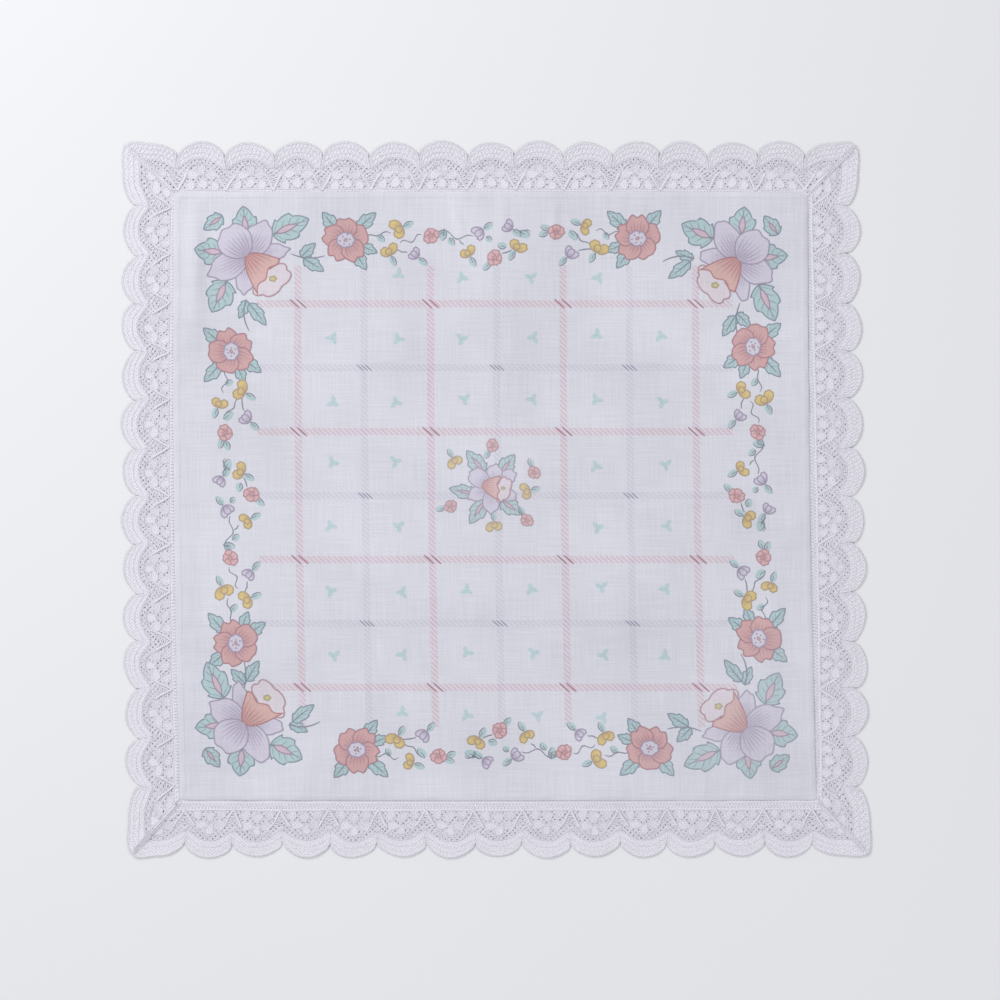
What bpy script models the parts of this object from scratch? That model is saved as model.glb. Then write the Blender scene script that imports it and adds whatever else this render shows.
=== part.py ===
"""Lace-edged handkerchief laid flat: a hemmed cotton square lying over the foot of a scalloped lace edging."""

import bpy
import numpy as np

MM = 0.001

# Corners seen from above, in mm: the hemmed edge of the cotton, and the line through the lace's crests
COTTON_CORNERS = {
    "top_left": (-120.5, 115.4),
    "top_right": (117.5, 115.4),
    "bottom_right": (120.7, -112.8),
    "bottom_left": (-118.2, -112.8),
}
CREST_CORNERS = {
    "top_left": (-139.2, 133.8),
    "top_right": (136.2, 133.8),
    "bottom_right": (140.7, -133.8),
    "bottom_left": (-137.4, -134.2),
}
# side: its two corners going round clockwise, scallops between the corner ones, outward bow of cotton and lace in mm
SIDES = {
    "top": ("top_left", "top_right", 13, 0.2, 0.4),
    "right": ("top_right", "bottom_right", 12, -0.9, 0.2),
    "bottom": ("bottom_right", "bottom_left", 13, 0.2, 0.3),
    "left": ("bottom_left", "top_left", 12, 1.1, 1.6),
}

SHEET = 1.0  # thickness of cotton and lace
HEM_THICK = 1.3  # the cotton folded twice at its edge
HEM_WIDE = 3.0
LAYER_GAP = 0.3  # between the hem's underside and the lace's foot
RIM_RUN = 4.5  # how far inside the hem the cotton comes down to the table
FOOT = 3.0  # how far the lace reaches under the hem
SCALLOP_PITCH = 18.1
SCALLOP_DEPTH = 3.3
COLUMNS_A_SCALLOP = 8
PLEAT_HIGH = 0.9
PLEAT_WIDE = 0.11  # in scallops
FLAT_MIDDLE = 30.0  # radius round the centre that lies flat on the table
GRID_MIDDLE = 6.6  # spacing of the cotton's grid away from the hem

# Soft creases that show in the cotton: centre x and y, direction in degrees, half length, half width, height
CREASES = (
    {"x": -114.0, "y": 92.0, "turn": 90, "long": 24.0, "wide": 4.5, "high": 0.7},
    {"x": -62.0, "y": -104.0, "turn": 84, "long": 10.0, "wide": 5.0, "high": 0.5},
    {"x": 78.0, "y": -105.0, "turn": 97, "long": 10.0, "wide": 5.0, "high": 0.5},
    {"x": -6.0, "y": 106.0, "turn": 95, "long": 9.0, "wide": 5.0, "high": 0.5},
    {"x": 22.0, "y": 105.0, "turn": 86, "long": 10.0, "wide": 5.0, "high": 0.6},
    {"x": 106.0, "y": 60.0, "turn": 12, "long": 12.0, "wide": 5.0, "high": 0.5},
    {"x": 104.0, "y": -40.0, "turn": 80, "long": 38.0, "wide": 7.0, "high": 0.6},
    {"x": -100.0, "y": -62.0, "turn": 100, "long": 30.0, "wide": 7.0, "high": 0.5},
)


def clear_scene():
    for obj in list(bpy.data.objects):
        bpy.data.objects.remove(obj, do_unlink=True)


def material(name, colour, roughness):
    made = bpy.data.materials.new(name)
    made.use_nodes = True
    shader = made.node_tree.nodes["Principled BSDF"]
    shader.inputs["Base Color"].default_value = (*colour, 1.0)
    shader.inputs["Roughness"].default_value = roughness
    shader.inputs["Metallic"].default_value = 0.0
    return made


def side_line(corners, side, bow, share):
    """Points of one side: the straight line between its corners, bowed outward most at the middle."""
    start, end = (np.array(corners[name]) for name in SIDES[side][:2])
    along = end - start
    outward = np.array((-along[1], along[0])) / np.hypot(*along)
    share = np.asarray(share, float)[..., None]
    return start + along * share + outward * bow * 4 * share * (1 - share)


def ease(value):
    value = np.clip(value, 0.0, 1.0)
    return value * value * (3 - 2 * value)


def cotton_shares(length):
    """Grid lines across the cotton: close together over the hem and its slope, evenly spaced between."""
    near = np.array((0.0, HEM_WIDE, HEM_WIDE + 0.5 * RIM_RUN, HEM_WIDE + RIM_RUN))
    middle = length - 2 * near[-1]
    steps = int(round(middle / GRID_MIDDLE))
    between = near[-1] + middle * np.arange(1, steps) / steps
    return np.concatenate([near, between, length - near[::-1]]) / length


def crease_height(x, y):
    total = np.zeros_like(x)
    for crease in CREASES:
        turn = np.radians(crease["turn"])
        along = (x - crease["x"]) * np.cos(turn) + (y - crease["y"]) * np.sin(turn)
        across = -(x - crease["x"]) * np.sin(turn) + (y - crease["y"]) * np.cos(turn)
        shape = (along / crease["long"]) ** 2 + (across / crease["wide"]) ** 2
        total += crease["high"] * np.exp(-1.5 * shape)
    return total


def cotton_grid():
    """A patch between the four bowed sides, with each point's distance to the nearest edge."""
    wide = COTTON_CORNERS["top_right"][0] - COTTON_CORNERS["top_left"][0]
    high = COTTON_CORNERS["top_left"][1] - COTTON_CORNERS["bottom_left"][1]
    across, down = cotton_shares(wide), cotton_shares(high)
    u, v = np.meshgrid(across, down, indexing="ij")
    sides = {name: row[3] for name, row in SIDES.items()}
    top = side_line(COTTON_CORNERS, "top", sides["top"], u)
    right = side_line(COTTON_CORNERS, "right", sides["right"], v)
    bottom = side_line(COTTON_CORNERS, "bottom", sides["bottom"], 1 - u)
    left = side_line(COTTON_CORNERS, "left", sides["left"], 1 - v)
    u, v = u[..., None], v[..., None]
    tl, tr, br, bl = (np.array(point) for point in COTTON_CORNERS.values())
    flat = tl * (1 - u) * (1 - v) + tr * u * (1 - v) + br * u * v + bl * (1 - u) * v
    points = top * (1 - v) + bottom * v + left * (1 - u) + right * u - flat
    inside = np.minimum(np.minimum(u, 1 - u) * wide, np.minimum(v, 1 - v) * high)
    return points, inside[..., 0]


def cotton():
    points, inside = cotton_grid()
    x, y = points[..., 0], points[..., 1]
    rim = (SHEET + LAYER_GAP) * (1 - ease((inside - HEM_WIDE) / RIM_RUN))
    rolling = 0.25 * (1 + np.sin(x / 21.0 + 0.4) * np.cos(y / 26.0 - 0.7))
    rolling *= ease((np.hypot(x, y) - FLAT_MIDDLE) / FLAT_MIDDLE) * ease((inside - HEM_WIDE) / 12.0)
    under = rim + rolling + crease_height(x, y) * ease((inside - 0.5 * HEM_WIDE) / 3.0)
    thick = np.where(inside < HEM_WIDE + 0.1, HEM_THICK, SHEET)
    low = np.concatenate([points, under[..., None]], axis=-1)
    high = low.copy()
    high[..., 2] += thick
    return low, high


def lace_side(side):
    """One side of the lace from mitre to mitre: columns across the band, counted in scallops from the mitre."""
    first, last, scallops, cotton_bow, lace_bow = SIDES[side]
    inner = [np.array(COTTON_CORNERS[name]) for name in (first, last)]
    outer = [np.array(CREST_CORNERS[name]) for name in (first, last)]
    length = np.hypot(*(inner[1] - inner[0]))
    along = (inner[1] - inner[0]) / length
    margin = 0.5 * (length - scallops * SCALLOP_PITCH)
    count = scallops + 2
    q = np.arange(count * COLUMNS_A_SCALLOP) / COLUMNS_A_SCALLOP
    knots = (0.0, 1.0, count - 1.0, float(count))
    inner_share = np.interp(q, knots, (0.0, margin / length, 1 - margin / length, 1.0))
    span = np.dot(outer[1] - outer[0], along)
    start = margin + np.dot(inner[0] - outer[0], along)
    end = margin + np.dot(outer[1] - inner[1], along)
    outer_share = np.interp(q, knots, (0.0, start / span, 1 - end / span, 1.0))
    edge = side_line(COTTON_CORNERS, side, cotton_bow, inner_share)
    crest = side_line(CREST_CORNERS, side, lace_bow, outer_share)
    return q, count, edge, crest


def notch(q, count):
    """1 at the notch between two scallops, 0 at a crest; the mitre keeps a shallow notch of its own."""
    from_end = np.minimum(q, count - q)
    arc = 1 - np.sqrt(np.clip(1 - (2 * (q % 1.0) - 1) ** 2, 0.0, 1.0))
    return np.where(from_end < 0.5, 0.35 * arc, arc)


def lace():
    rows = []
    for side in SIDES:
        q, count, edge, crest = lace_side(side)
        width = np.hypot(*(crest - edge).T)
        reach = 1 - SCALLOP_DEPTH * notch(q, count) / width
        across = np.stack([-FOOT / width, 0.0 * width, 0.34 * reach, 0.7 * reach, reach], axis=1)
        flat = edge[:, None] + (crest - edge)[:, None] * across[..., None]
        from_end = np.minimum(q, count - q)
        pleats = np.exp(-((from_end / PLEAT_WIDE) ** 2)) + 0.6 * np.exp(-(((from_end - 0.5) / PLEAT_WIDE) ** 2))
        rise = PLEAT_HIGH * pleats[:, None] * ease(across / 0.5)
        rows.append(np.concatenate([flat, rise[..., None]], axis=-1))
    low = np.concatenate(rows, axis=0)
    high = low.copy()
    high[..., 2] += SHEET
    return low, high


def sheet(name, low, high, ring, coating):
    """A closed solid between two grids; a ring's last column joins its first."""
    columns, depth = low.shape[:2]
    index = np.arange(columns * depth).reshape(columns, depth)
    if ring:
        index = np.concatenate([index, index[:1]], axis=0)
    raise_by = columns * depth
    a, b, c, d = index[:-1, :-1], index[1:, :-1], index[1:, 1:], index[:-1, 1:]
    quad = np.stack([a, b, c, d], axis=-1).reshape(-1, 4)
    faces = [quad + raise_by, quad[:, ::-1]]
    edges = [index[:, 0], index[:, -1][::-1]]
    if not ring:
        edges += [index[-1, :], index[0, :][::-1]]
    for line in edges:
        faces.append(np.stack([line[:-1], line[1:], line[1:] + raise_by, line[:-1] + raise_by], axis=-1))
    points = np.concatenate([low.reshape(-1, 3), high.reshape(-1, 3)]) * MM
    mesh = bpy.data.meshes.new(name)
    mesh.from_pydata(points.tolist(), [], np.concatenate(faces).tolist())
    mesh.validate()
    made = bpy.data.objects.new(name, mesh)
    bpy.context.collection.objects.link(made)
    volume = np.cross(points[quad[:, 1] + raise_by] - points[quad[:, 0] + raise_by],
                      points[quad[:, 2] + raise_by] - points[quad[:, 0] + raise_by])[:, 2].sum()
    if volume < 0:
        mesh.flip_normals()
    mesh.materials.append(coating)
    return made


def main():
    clear_scene()
    cotton_low, cotton_high = cotton()
    lace_low, lace_high = lace()
    flat = lace_low.reshape(-1, 3)
    centre = np.array((*(0.5 * (flat.min(0) + flat.max(0)))[:2], 0.0))
    white_cotton = material("printed_cotton", (0.73, 0.73, 0.79), 0.85)
    white_lace = material("white_lace", (0.76, 0.75, 0.80), 0.8)
    sheet("cotton_square", cotton_low - centre, cotton_high - centre, False, white_cotton)
    sheet("lace_edging", lace_low - centre, lace_high - centre, True, white_lace)


main()
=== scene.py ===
"""Lace-edged printed handkerchief laid flat: printed cotton with a stitched hem over a scalloped lace edging.

All lengths below are in mm unless a name says otherwise. Each piece is a grid of points worked out with whole
arrays: a sheet is a function of two lengths, a cord is a closed profile carried along a path, and a printed shape
is a petal or leaf laid on the cotton's own surface.
"""

import bpy
import numpy as np
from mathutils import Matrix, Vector


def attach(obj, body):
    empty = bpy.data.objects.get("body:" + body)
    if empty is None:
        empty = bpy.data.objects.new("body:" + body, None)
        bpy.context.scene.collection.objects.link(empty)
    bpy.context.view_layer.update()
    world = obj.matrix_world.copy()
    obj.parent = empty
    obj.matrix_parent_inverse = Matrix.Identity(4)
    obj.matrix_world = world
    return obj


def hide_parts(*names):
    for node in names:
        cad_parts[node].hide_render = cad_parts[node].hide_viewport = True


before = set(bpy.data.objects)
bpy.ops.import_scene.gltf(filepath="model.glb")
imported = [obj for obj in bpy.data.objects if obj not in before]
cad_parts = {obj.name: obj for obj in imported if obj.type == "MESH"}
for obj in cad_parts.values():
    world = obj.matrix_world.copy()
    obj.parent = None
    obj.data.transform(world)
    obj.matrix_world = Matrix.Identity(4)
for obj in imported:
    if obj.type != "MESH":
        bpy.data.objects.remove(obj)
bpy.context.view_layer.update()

MM = 0.001
PI = np.pi



def table(names, *rows):
    """Rows of values, each read by the names given first."""
    return [dict(zip(names.split(), row)) for row in rows]


# Places and sizes: the corners, bows and scallops are the solids' own, the notches and creases are finer here

COTTON_CORNERS = {
    "top_left": (-120.5, 115.4),
    "top_right": (117.5, 115.4),
    "bottom_right": (120.7, -112.8),
    "bottom_left": (-118.2, -112.8),
}
CREST_CORNERS = {
    "top_left": (-139.2, 133.8),
    "top_right": (136.2, 133.8),
    "bottom_right": (140.7, -133.8),
    "bottom_left": (-137.4, -134.2),
}
# side: its two corners going round clockwise, scallops between the corner ones, outward bow of cotton and lace
SIDES = {
    "top": ("top_left", "top_right", 13, 0.2, 0.4),
    "right": ("top_right", "bottom_right", 12, -0.9, 0.2),
    "bottom": ("bottom_right", "bottom_left", 13, 0.2, 0.3),
    "left": ("bottom_left", "top_left", 12, 1.1, 1.6),
}
CENTRE = np.array((0.29, -0.18))  # middle of the outline, which the frame's origin stands under
PITCH = 18.1
NOTCH_DEPTH = 4.3
CORNER_NOTCH = 1.3  # where two scallops run together at a corner
CREASES = table(
    "x y turn long wide high",
    (-112.5, 88.0, 90, 28.0, 3.8, 1.5),
    (-62.0, -104.0, 84, 10.0, 2.2, 0.5),
    (78.0, -105.0, 97, 10.0, 2.2, 0.5),
    (-13.8, 104.0, 102, 9.0, 1.9, 0.55),
    (3.0, 106.0, 88, 8.0, 1.9, 0.4),
    (22.0, 105.0, 84, 10.0, 1.9, 0.55),
    (106.0, 60.0, 12, 12.0, 3.0, 0.5),
    (104.0, -40.0, 80, 38.0, 6.0, 0.5),
    (-100.0, -62.0, 100, 30.0, 6.0, 0.5),
)

# Sizes of the cotton and how it lies on the lace

COTTON_WIDE = 238.0
COTTON_HIGH = 228.2
COTTON_THICK = 0.28
HEM_WIDE = 2.6
HEM_EXTRA = 0.08
RIM_LIFT = 0.50
RIM_RUN = 8.0
LACE_BASE = 0.42
SEAM_HIGH = 0.35
FOOT_DROP = 0.15  # how much lower the lace's foot lies where the hem covers it
SEAM_WIDE = 2.4
GRID_STEP = 1.25

# Linear colours
COTTON_WHITE = (0.735, 0.73, 0.79)
LACE_WHITE = (0.87, 0.85, 0.912)
# The ground net's thread: the lace's white painted darker, as painted shade for the shade that lies under the thin
# net
NET_WHITE_PAINTED_SHADE = (0.76, 0.745, 0.81)


def srgb(red, green, blue):
    """Linear colour of an 8-bit screen colour."""
    value = np.array((red, green, blue)) / 255
    return tuple(np.where(value <= 0.04045, value / 12.92, ((value + 0.055) / 1.055) ** 2.4).tolist())


def ease(value):
    value = np.clip(value, 0.0, 1.0)
    return value * value * (3 - 2 * value)


# Meshes from grids


def quads_of(shape):
    """Corner indices of every cell of a stack of grids, shape (count, rows, columns)."""
    index = np.arange(np.prod(shape)).reshape(shape)
    cells = (index[:, :-1, :-1], index[:, 1:, :-1], index[:, 1:, 1:], index[:, :-1, 1:])
    return np.stack(cells, axis=-1).reshape(-1, 4)


def build(name, points, quads, coating, uv=None, layers=None):
    """A smooth mesh of quads. Points are in mm; uv and layers hold one value or colour for each point."""
    mesh = bpy.data.meshes.new(name)
    mesh.vertices.add(len(points))
    mesh.vertices.foreach_set("co", np.ascontiguousarray(points * MM, np.float32).ravel())
    mesh.loops.add(quads.size)
    mesh.loops.foreach_set("vertex_index", quads.astype(np.int32).ravel())
    mesh.polygons.add(len(quads))
    mesh.polygons.foreach_set("loop_start", np.arange(0, quads.size, 4, dtype=np.int32))
    mesh.polygons.foreach_set("use_smooth", np.ones(len(quads), bool))
    if uv is not None:
        mesh.uv_layers.new(name="flat").data.foreach_set("uv", uv[quads.ravel()].astype(np.float32).ravel())
    for layer, values in (layers or {}).items():
        if values.ndim == 2:
            made = mesh.attributes.new(layer, "FLOAT_COLOR", "POINT")
            coloured = np.concatenate([values, np.ones((len(values), 1))], axis=1)
            made.data.foreach_set("color", coloured.astype(np.float32).ravel())
        else:
            mesh.attributes.new(layer, "FLOAT", "POINT").data.foreach_set("value", values.astype(np.float32))
    mesh.update(calc_edges=True)
    mesh.validate()
    mesh.materials.append(coating)
    made = bpy.data.objects.new(name, mesh)
    bpy.context.collection.objects.link(made)
    return made


def cords(paths, width, height, corners):
    """Closed cords along paths (count, steps, 3): a flattened ring of corners swept square to each path."""
    ahead = np.gradient(paths, axis=1)
    ahead[..., 2] = 0
    ahead /= np.maximum(np.linalg.norm(ahead, axis=-1, keepdims=True), 1e-9)
    across = np.stack([-ahead[..., 1], ahead[..., 0], 0 * ahead[..., 0]], axis=-1)
    turn = np.arange(corners + 1) * 2 * PI / corners
    ring = across[:, :, None] * (np.cos(turn) * width / 2)[:, None]
    ring[..., 2] += np.sin(turn) * height / 2
    points = paths[:, :, None] + ring
    length = np.concatenate([np.zeros((len(paths), 1)), np.linalg.norm(np.diff(paths, axis=1), axis=-1)], axis=1)
    along = np.repeat(np.cumsum(length, axis=1)[..., None], corners + 1, axis=2)
    round_ = np.broadcast_to(np.arange(corners + 1) / corners, along.shape)
    return points, np.stack([along, round_], axis=-1)


def join_grids(parts):
    """One set of points, quads and uv from stacks of grids (count, rows, columns, 3)."""
    points, quads, uvs, start = [], [], [], 0
    for grid, uv in parts:
        quads.append(quads_of(grid.shape[:3]) + start)
        points.append(grid.reshape(-1, 3))
        uvs.append(uv.reshape(-1, 2))
        start += len(points[-1])
    return np.concatenate(points), np.concatenate(quads), np.concatenate(uvs)


# Outline and height of the two cloths


def side_line(corners, side, bow, share):
    """Points of one side: the straight line between its corners, bowed outward most at the middle."""
    start, end = (np.array(corners[name]) for name in SIDES[side][:2])
    along = end - start
    outward = np.array((-along[1], along[0])) / np.hypot(*along)
    share = np.asarray(share, float)[..., None]
    return start + along * share + outward * bow * 4 * share * (1 - share) - CENTRE


def crease_height(x, y):
    total = np.zeros_like(x)
    for crease in CREASES:
        turn = np.radians(crease["turn"])
        along = (x - crease["x"]) * np.cos(turn) + (y - crease["y"]) * np.sin(turn)
        across = -(x - crease["x"]) * np.sin(turn) + (y - crease["y"]) * np.cos(turn)
        total += crease["high"] * np.exp(-1.5 * ((along / crease["long"]) ** 2 + (across / crease["wide"]) ** 2))
    return total


def grid_lines(length):
    """Lines across the cotton: close together over the hem and its slope, evenly spaced between."""
    near = np.array((0.0, 0.15, 0.5, 1.0, 1.6, 2.1, 2.45, 2.75, 3.1, 3.7, 4.6, 5.7, 6.9, 8.2))
    steps = int(round((length - 2 * near[-1]) / GRID_STEP))
    between = near[-1] + (length - 2 * near[-1]) * np.arange(1, steps) / steps
    return np.concatenate([near, between, length - near[::-1]]) - length / 2


def cotton_grid():
    """The cotton's flat lengths s and t, and its underside and top points over them; each point's height is set from
    its distance to the nearest edge.
    """
    s, t = grid_lines(COTTON_WIDE), grid_lines(COTTON_HIGH)
    u, v = np.meshgrid(s / COTTON_WIDE + 0.5, t / COTTON_HIGH + 0.5, indexing="ij")
    bows = {name: row[3] for name, row in SIDES.items()}
    top = side_line(COTTON_CORNERS, "top", bows["top"], u)
    right = side_line(COTTON_CORNERS, "right", bows["right"], 1 - v)
    bottom = side_line(COTTON_CORNERS, "bottom", bows["bottom"], 1 - u)
    left = side_line(COTTON_CORNERS, "left", bows["left"], v)
    tl, tr, br, bl = (np.array(point) - CENTRE for point in COTTON_CORNERS.values())
    u, v = u[..., None], v[..., None]
    flat = bl * (1 - u) * (1 - v) + br * u * (1 - v) + tr * u * v + tl * (1 - u) * v
    points = bottom * (1 - v) + top * v + left * (1 - u) + right * u - flat
    u, v = u[..., 0], v[..., 0]
    near_side = np.minimum(u, 1 - u) * COTTON_WIDE
    near_end = np.minimum(v, 1 - v) * COTTON_HIGH
    inside = np.minimum(near_side, near_end)
    x, y = points[..., 0], points[..., 1]
    high = RIM_LIFT * (1 - ease((inside - HEM_WIDE) / RIM_RUN)) + 0.06
    high += 0.22 * (1 + np.sin(x / 21.0 + 0.4) * np.cos(y / 26.0 - 0.7)) * ease((inside - HEM_WIDE) / 12.0)
    high += crease_height(x, y) * ease((inside - 0.5 * HEM_WIDE) / 3.0)
    # Puckers that the hem's stitches draw into the cloth, running in from each side
    for run, edge, phase in ((x, near_end, 0.0), (y, near_side, 1.9)):
        pucker = np.sin(run / 1.45 + 1.3 * np.sin(run / 7.1 + phase))
        pucker = pucker + 0.8 * np.sin(run / 2.9 + 2.1 * np.sin(run / 13.0 + phase))
        reach = 7.0 + 5.0 * np.sin(run / 17.0 + phase)
        high += 0.075 * pucker * np.exp(-np.maximum(edge - HEM_WIDE, 0) / reach) * ease(edge / 1.5)
    # Faint long wrinkles left by folding and washing
    high += 0.10 * np.sin((x + 0.35 * y) / 3.1 + 2.4 * np.sin(y / 19.0)) * ease(np.sin(x / 31.0 + y / 47.0 + 0.6))
    high += 0.09 * np.sin((y - 0.22 * x) / 3.7 + 2.0 * np.sin(x / 23.0)) * ease(np.sin(y / 29.0 - x / 53.0 + 2.2))
    high -= 0.16 * (1 - np.sqrt(np.clip(inside / 1.6, 0, 1)))
    high = np.maximum(high, 0.01)
    thick = COTTON_THICK + HEM_EXTRA * (1 - ease((inside - HEM_WIDE + 0.4) / 0.7))
    thick *= 0.35 + 0.65 * np.sqrt(np.clip(inside / 1.2, 0, 1))
    low = np.concatenate([points, high[..., None]], axis=-1)
    top_points = low.copy()
    top_points[..., 2] += thick
    return s, t, low, top_points


COTTON_S, COTTON_T, COTTON_LOW, COTTON_TOP = cotton_grid()


def on_cotton(s, t, lift):
    """Points lifted clear of the cotton's top at flat lengths s and t: the grid's cells, read between."""
    i = np.clip(np.interp(s, COTTON_S, np.arange(len(COTTON_S))), 0, len(COTTON_S) - 1.001)
    j = np.clip(np.interp(t, COTTON_T, np.arange(len(COTTON_T))), 0, len(COTTON_T) - 1.001)
    i0, j0 = i.astype(int), j.astype(int)
    a, b = (i - i0)[..., None], (j - j0)[..., None]
    top = COTTON_TOP
    found = (top[i0, j0] * (1 - a) * (1 - b) + top[i0 + 1, j0] * a * (1 - b)
             + top[i0 + 1, j0 + 1] * a * b + top[i0, j0 + 1] * (1 - a) * b)
    found[..., 2] += lift
    return found


def lace_point(side, q, depth, lift):
    """A point of the lace on one side, q scallops from the mitre and depth in from the line of the crests.

    The columns stand square to the cloth's edge, and at both ends the corner's diagonal cuts the pattern off."""
    first, last, scallops, cotton_bow, lace_bow = SIDES[side]
    inner = [np.array(COTTON_CORNERS[name]) for name in (first, last)]
    corner = [np.array(CREST_CORNERS[name]) - point for name, point in zip((first, last), inner)]
    length = np.hypot(*(inner[1] - inner[0]))
    along = (inner[1] - inner[0]) / length
    outward = np.array((-along[1], along[0]))
    before, after = corner[0] @ along, length + corner[1] @ along
    margin = 0.5 * (length - scallops * PITCH)
    count = scallops + 2
    sway = 0.30 * np.sin(1.9 * q + 0.31 * depth) + 0.20 * np.sin(4.3 * q - 0.7 * depth)
    depth = depth + 0.34 * np.sin(2.7 * q + 0.2 * depth) * ease((20.0 - depth) / 6.0)
    # At the corners two scallops run together, with only a shallow notch between them
    together = ease(1 - 2 * np.minimum(q, count - q)) * ease((11.0 - depth) / 6.0)
    depth = depth - (NOTCH_DEPTH - CORNER_NOTCH) * together
    knots = (0.0, 1.0, count - 1.0, float(count))
    run = np.interp(q + sway / PITCH, knots, (before, margin, length - margin, after))
    edge = side_line(COTTON_CORNERS, side, cotton_bow, np.clip(run / length, 0, 1))
    edge = edge + along * (run - np.clip(run, 0, length))[..., None]
    crest = side_line(CREST_CORNERS, side, lace_bow, (run - before) / (after - before))
    share = depth / ((crest - edge) @ outward)
    flat = crest + (edge - crest) * share[..., None] - (inner[0] - CENTRE)
    out = flat @ outward
    low = before * out / (corner[0] @ outward)
    high = length + (after - length) * out / (corner[1] @ outward)
    place = np.clip(flat @ along, low, high)
    flat = inner[0] - CENTRE + along * place[..., None] + outward * out[..., None]
    rise = LACE_BASE + lift + SEAM_HIGH * np.exp(-((np.minimum(place - low, high - place) / SEAM_WIDE) ** 2))
    rise = rise + 0.10 * np.sin(q * 2.3 + depth * 0.4) * ease((18.0 - depth) / 6.0)
    rise = rise - FOOT_DROP * ease((depth - 17.9) / 1.2)
    return np.concatenate([flat, rise[..., None]], axis=-1)


def notch(x):
    """How far the scallop's edge lies in from its crest, x from -1 to 1 across it: part arc, part parabola."""
    return NOTCH_DEPTH * (0.35 * (1 - np.sqrt(np.clip(1 - x * x, 0, 1))) + 0.65 * x * x)


# Threads of one lace repeat, in mm: across from the flower's middle, depth in from the crest line

HALF = PITCH / 2
# Two arches over each flower: half width, depth of the top, how much deeper the ends lie, and where each arm
# bends out of its round top, as a share of the half width. The outer one is wide and flat and its arms cross its
# neighbour's; the inner one's arms are straight bars that meet the neighbour's in a V at the foot
ARCH = {"half": 9.0, "top": 8.0, "drop": 9.9, "bend": 0.40, "round": 0.16}
ARCH_OUT = {"half": 9.05, "top": 6.4, "drop": 4.1, "bend": 0.36, "round": 0.20}
BAR_FROM = 0.60  # share of the inner arch's half width where its heavy bars start
ARM_ENDS = 1.33  # how far past its half width the outer arch's arms run on, to the neighbour's bars
# Close-worked petals and, either side of the lowest, two solid leaves: middle, half length, half width, and the way
# the broad end points
PETALS = table(
    "x depth long wide turn",
    (0.0, 10.3, 1.75, 1.35, -90),
    (-3.1, 12.1, 2.1, 1.4, 172),
    (3.1, 12.1, 2.1, 1.4, 8),
    (0.0, 15.1, 1.9, 1.6, 90),
    (-4.5, 15.9, 1.8, 1.5, 112),
    (4.5, 15.9, 1.8, 1.5, 68),
)
# Short threads that tie the petals to the rest, from and to, across and depth; each is laid on both sides
TIES = table(
    "x0 d0 x1 d1",
    (0.6, 16.8, 1.0, 17.7),
    (1.7, 15.3, 3.0, 15.5),
    (1.5, 13.8, 2.4, 13.3),
    (4.0, 13.4, 4.2, 14.2),
    (5.1, 12.6, 6.3, 13.2),
    (5.9, 14.9, 7.3, 14.9),
    (6.1, 16.4, 8.1, 16.5),
    (4.0, 10.8, 4.6, 10.2),
    (1.4, 10.4, 2.1, 11.0),
    (1.3, 9.4, 2.2, 8.3),
)


def arch_depth(arch, x):
    """An arch with a round top and nearly straight arms: h(u) = u + sqrt((u - bend)^2 + round^2), u = |x| / half."""
    u = np.abs(x) / arch["half"]

    def height(share):
        return share + np.sqrt((share - arch["bend"]) ** 2 + arch["round"] ** 2)

    return arch["top"] + arch["drop"] * (height(u) - height(0.0)) / (height(1.0) - height(0.0))


def line(x, depth):
    x, depth = np.broadcast_arrays(x, depth)
    return np.stack([x, depth], axis=-1).astype(float)


def petal_ring(petal, turn, side=1.0, share=1.0):
    """Points round one egg-shaped petal; 'side' narrows the ring towards its middle line, 'share' shrinks it."""
    lean = np.radians(petal["turn"])
    x = petal["long"] * share * np.cos(turn)
    y = petal["wide"] * share * side * np.sin(turn) * (1 + 0.3 * np.cos(turn))
    across = petal["x"] + x * np.cos(lean) - y * np.sin(lean)
    return line(across, petal["depth"] + x * np.sin(lean) + y * np.cos(lean))


def fan_curve(v, u):
    """Fan between the outer arch (v = 0) and the scallop's edge (v = 1), u from -1 to 1 across; it narrows by v^4."""
    x = u * (ARCH_OUT["half"] - 0.40 * v**4)
    d_in = arch_depth(ARCH_OUT, ARCH_OUT["half"] * u) - 0.3
    d_out = notch(u) + 0.2
    return line(x, d_in * (1 - v) + d_out * v)


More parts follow.
